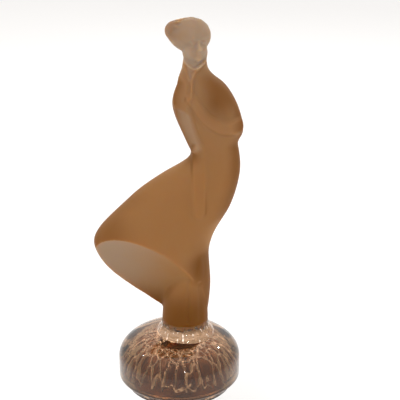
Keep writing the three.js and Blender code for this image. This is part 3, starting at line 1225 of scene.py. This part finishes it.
class MASCOT_OT_washers(bpy.types.Operator):
    """Model the rubber, flat and spring washers"""

    bl_idname = "mascot.washers"
    bl_label = "Washers"

    def execute(self, context):
        colours = context.scene.mascot_colours
        hole = STUD_RADIUS + WASHER_GAP
        cushion = mesh_object(
            spun(rounded(ring_outline(CUSHION_LOW, CUSHION_HIGH, hole), 0.4), 96, closed=True),
            "rubber_washer",
        )
        black = rubber(colours, "cushion_rubber")
        add_piece(cushion, black, "cushion_washer", "washer_stack")
        clamp = mesh_object(
            spun(rounded(ring_outline(CLAMP_LOW, CLAMP_HIGH, hole), 0.25), 96, closed=True),
            "flat_washer",
        )
        zinc = plated_steel(colours, "washer_zinc")
        add_piece(clamp, zinc, "clamp_washer", "washer_stack")
        self.add_spring_washer(hole, colours)
        return {"FINISHED"}

    def add_spring_washer(self, hole, colours):
        """A split coil of one turn, whose ends stand apart by a small rise."""
        outer = SPRING_HIGH.x
        top = SPRING_HIGH.z - SPRING_RISE
        corners = [(hole, SPRING_LOW.z), (outer, SPRING_LOW.z), (outer, top), (hole, top)]
        bm = bmesh.new()
        verts = [bm.verts.new((radius, 0.0, height)) for radius, height in rounded(corners, 0.2)]
        section = bm.faces.new(verts)
        steps = 90
        bmesh.ops.rotate(bm, verts=bm.verts, cent=(0, 0, 0), matrix=Matrix.Rotation(0.25, 3, "Z"))
        bmesh.ops.spin(
            bm,
            geom=[section],
            cent=(0, 0, 0),
            axis=(0, 0, 1),
            dvec=(0, 0, SPRING_RISE / steps),
            angle=math.tau - SPRING_SPLIT,
            steps=steps,
        )
        bmesh.ops.recalc_face_normals(bm, faces=bm.faces)
        spring = mesh_object(bm, "split_washer")
        dark = plated_steel(colours, "spring_steel")
        add_piece(spring, dark, "spring_washer", "washer_stack")


class MASCOT_OT_wing_nut(bpy.types.Operator):
    """Model the cast wing nut"""

    bl_idname = "mascot.wing_nut"
    bl_label = "Wing Nut"

    def execute(self, context):
        bore = STUD_RADIUS + THREAD_GAP
        bottom = NUT_HIGH.z - NUT_HEIGHT
        outline = [
            (bore, bottom),
            (NUT_TIP_RADIUS, bottom),
            (NUT_HIGH.y, NUT_HIGH.z),
            (bore, NUT_HIGH.z),
        ]
        bm = spun(rounded(outline, 0.6), 96, closed=True)
        reach = NUT_HIGH.x
        for side in (-1, 1):
            keys = [
                (side * NUT_TIP_RADIUS, 0.0, NUT_HIGH.z - 3.6, 2.2),
                (side * 9.5, 0.0, NUT_HIGH.z - 5.2, 3.2),
                (side * 12.2, 0.0, bottom - 0.6, 4.2),
                (side * (reach - 4.6), 0.0, bottom - 1.4, 4.0),
            ]
            add_limb(bm, keys, 16, 24)
        for v in bm.verts:
            if abs(v.co.x) > 8.2 or (abs(v.co.x) > 5.0 and abs(v.co.y) < 3.4 and v.co.z < bottom):
                v.co.y *= WING_FLATNESS
        bmesh.ops.recalc_face_normals(bm, faces=bm.faces)
        made = mesh_object(bm, "cast_wing_nut")
        fuse(made, NUT_VOXEL, 4)
        material = aged_brass(context.scene.mascot_colours, "cast_brass", 1.0)
        add_piece(made, material, "wing_nut", "wing_nut", 60.0)
        return {"FINISHED"}


# Stage

FLOOR_REACH = 2500.0
FLOOR_GAP = 0.5

# Small lights that glint on the polished glass, in metres
GLINTS = 3
GLINT_SIZE = 0.02
GLINT_REACH = 0.5
GLINT_HEIGHT = 0.42
GLINT_STEP = 0.12


class MASCOT_OT_stage(bpy.types.Operator):
    """Set up the floor, the light and the camera"""

    bl_idname = "mascot.stage"
    bl_label = "Studio"

    def execute(self, context):
        stage = context.scene.mascot_stage
        self.add_floor(context.scene.mascot_colours)
        self.add_world(stage)
        self.add_lights(stage)
        self.add_camera(stage)
        context.scene.view_settings.view_transform = "Standard"
        return {"FINISHED"}

    def add_floor(self, colours):
        """A wide disc that the stud's end just clears."""
        top = STUD_LOW.z - FLOOR_GAP
        outline = [(0.0, top - 2.0), (FLOOR_REACH, top - 2.0), (FLOOR_REACH, top), (0.0, top)]
        floor = mesh_object(spun(outline, 96), "studio_floor")
        floor.data.transform(Matrix.Scale(MM, 4))
        floor.data.materials.append(floor_paint(colours))

    def add_world(self, stage):
        world = bpy.data.worlds.new("studio")
        world.use_nodes = True
        background = world.node_tree.nodes["Background"]
        background.inputs["Color"].default_value = (1.0, 0.99, 0.98, 1.0)
        background.inputs["Strength"].default_value = stage.world_strength
        bpy.context.scene.world = world

    def add_lights(self, stage):
        boxes = [
            ("key_box", (-0.45, -0.55, 0.75), 0.5, stage.key_power),
            ("fill_box", (0.7, -0.35, 0.45), 0.6, stage.key_power * 0.35),
            ("back_box", (0.1, 0.7, 0.6), 0.6, stage.key_power * 0.5),
        ]
        for i in range(GLINTS):
            angle = math.tau * (i + 0.35) / GLINTS
            height = GLINT_HEIGHT + GLINT_STEP * (i % 2)
            place = (GLINT_REACH * math.cos(angle), GLINT_REACH * math.sin(angle), height)
            boxes.append((f"glint_{i}", place, GLINT_SIZE, stage.key_power * 0.05))
        for name, place, size, power in boxes:
            light = bpy.data.lights.new(name, "AREA")
            light.size = size
            light.energy = power
            holder = bpy.data.objects.new(name, light)
            holder.location = place
            aim = Vector((0, 0, 0.09)) - Vector(place)
            holder.rotation_euler = aim.to_track_quat("-Z", "Y").to_euler()
            holder.visible_glossy = size < 0.1
            bpy.context.scene.collection.objects.link(holder)

    def add_camera(self, stage):
        camera = bpy.data.cameras.new("studio_camera")
        camera.lens = stage.lens
        holder = bpy.data.objects.new("studio_camera", camera)
        holder.location = (
            stage.sideways,
            -stage.distance * math.cos(stage.elevation),
            stage.distance * math.sin(stage.elevation),
        )
        holder.rotation_euler = (math.pi / 2 - stage.pitch, 0.0, 0.0)
        bpy.context.scene.collection.objects.link(holder)
        bpy.context.scene.camera = holder


class MASCOT_PT_panel(bpy.types.Panel):
    """Buttons for each piece of the mascot"""

    bl_idname = "MASCOT_PT_panel"
    bl_label = "Glass Hood Mascot"
    bl_space_type = "VIEW_3D"
    bl_region_type = "UI"
    bl_category = "Mascot"

    def draw(self, context):
        for operator in OPERATORS:
            self.layout.operator(operator.bl_idname)
        for group in (
            context.scene.mascot_sizes,
            context.scene.mascot_colours,
            context.scene.mascot_stage,
        ):
            for name in group.bl_rna.properties.keys():
                if name not in ("rna_type", "name"):
                    self.layout.prop(group, name)


OPERATORS = (
    MASCOT_OT_stage,
    MASCOT_OT_figure,
    MASCOT_OT_base,
    MASCOT_OT_gasket,
    MASCOT_OT_plate,
    MASCOT_OT_stud,
    MASCOT_OT_washers,
    MASCOT_OT_wing_nut,
)
CLASSES = (MascotSizes, MascotColours, MascotStage, *OPERATORS, MASCOT_PT_panel)


def register():
    for cls in CLASSES:
        bpy.utils.register_class(cls)
    bpy.types.Scene.mascot_sizes = PointerProperty(type=MascotSizes)
    bpy.types.Scene.mascot_colours = PointerProperty(type=MascotColours)
    bpy.types.Scene.mascot_stage = PointerProperty(type=MascotStage)


def unregister():
    del bpy.types.Scene.mascot_stage
    del bpy.types.Scene.mascot_colours
    del bpy.types.Scene.mascot_sizes
    for cls in reversed(CLASSES):
        bpy.utils.unregister_class(cls)


def main():
    register()
    bpy.ops.mascot.stage()
    bpy.ops.mascot.figure()
    bpy.ops.mascot.base()
    bpy.ops.mascot.gasket()
    bpy.ops.mascot.plate()
    bpy.ops.mascot.stud()
    bpy.ops.mascot.washers()
    bpy.ops.mascot.wing_nut()


if __name__ == "__main__":
    main()
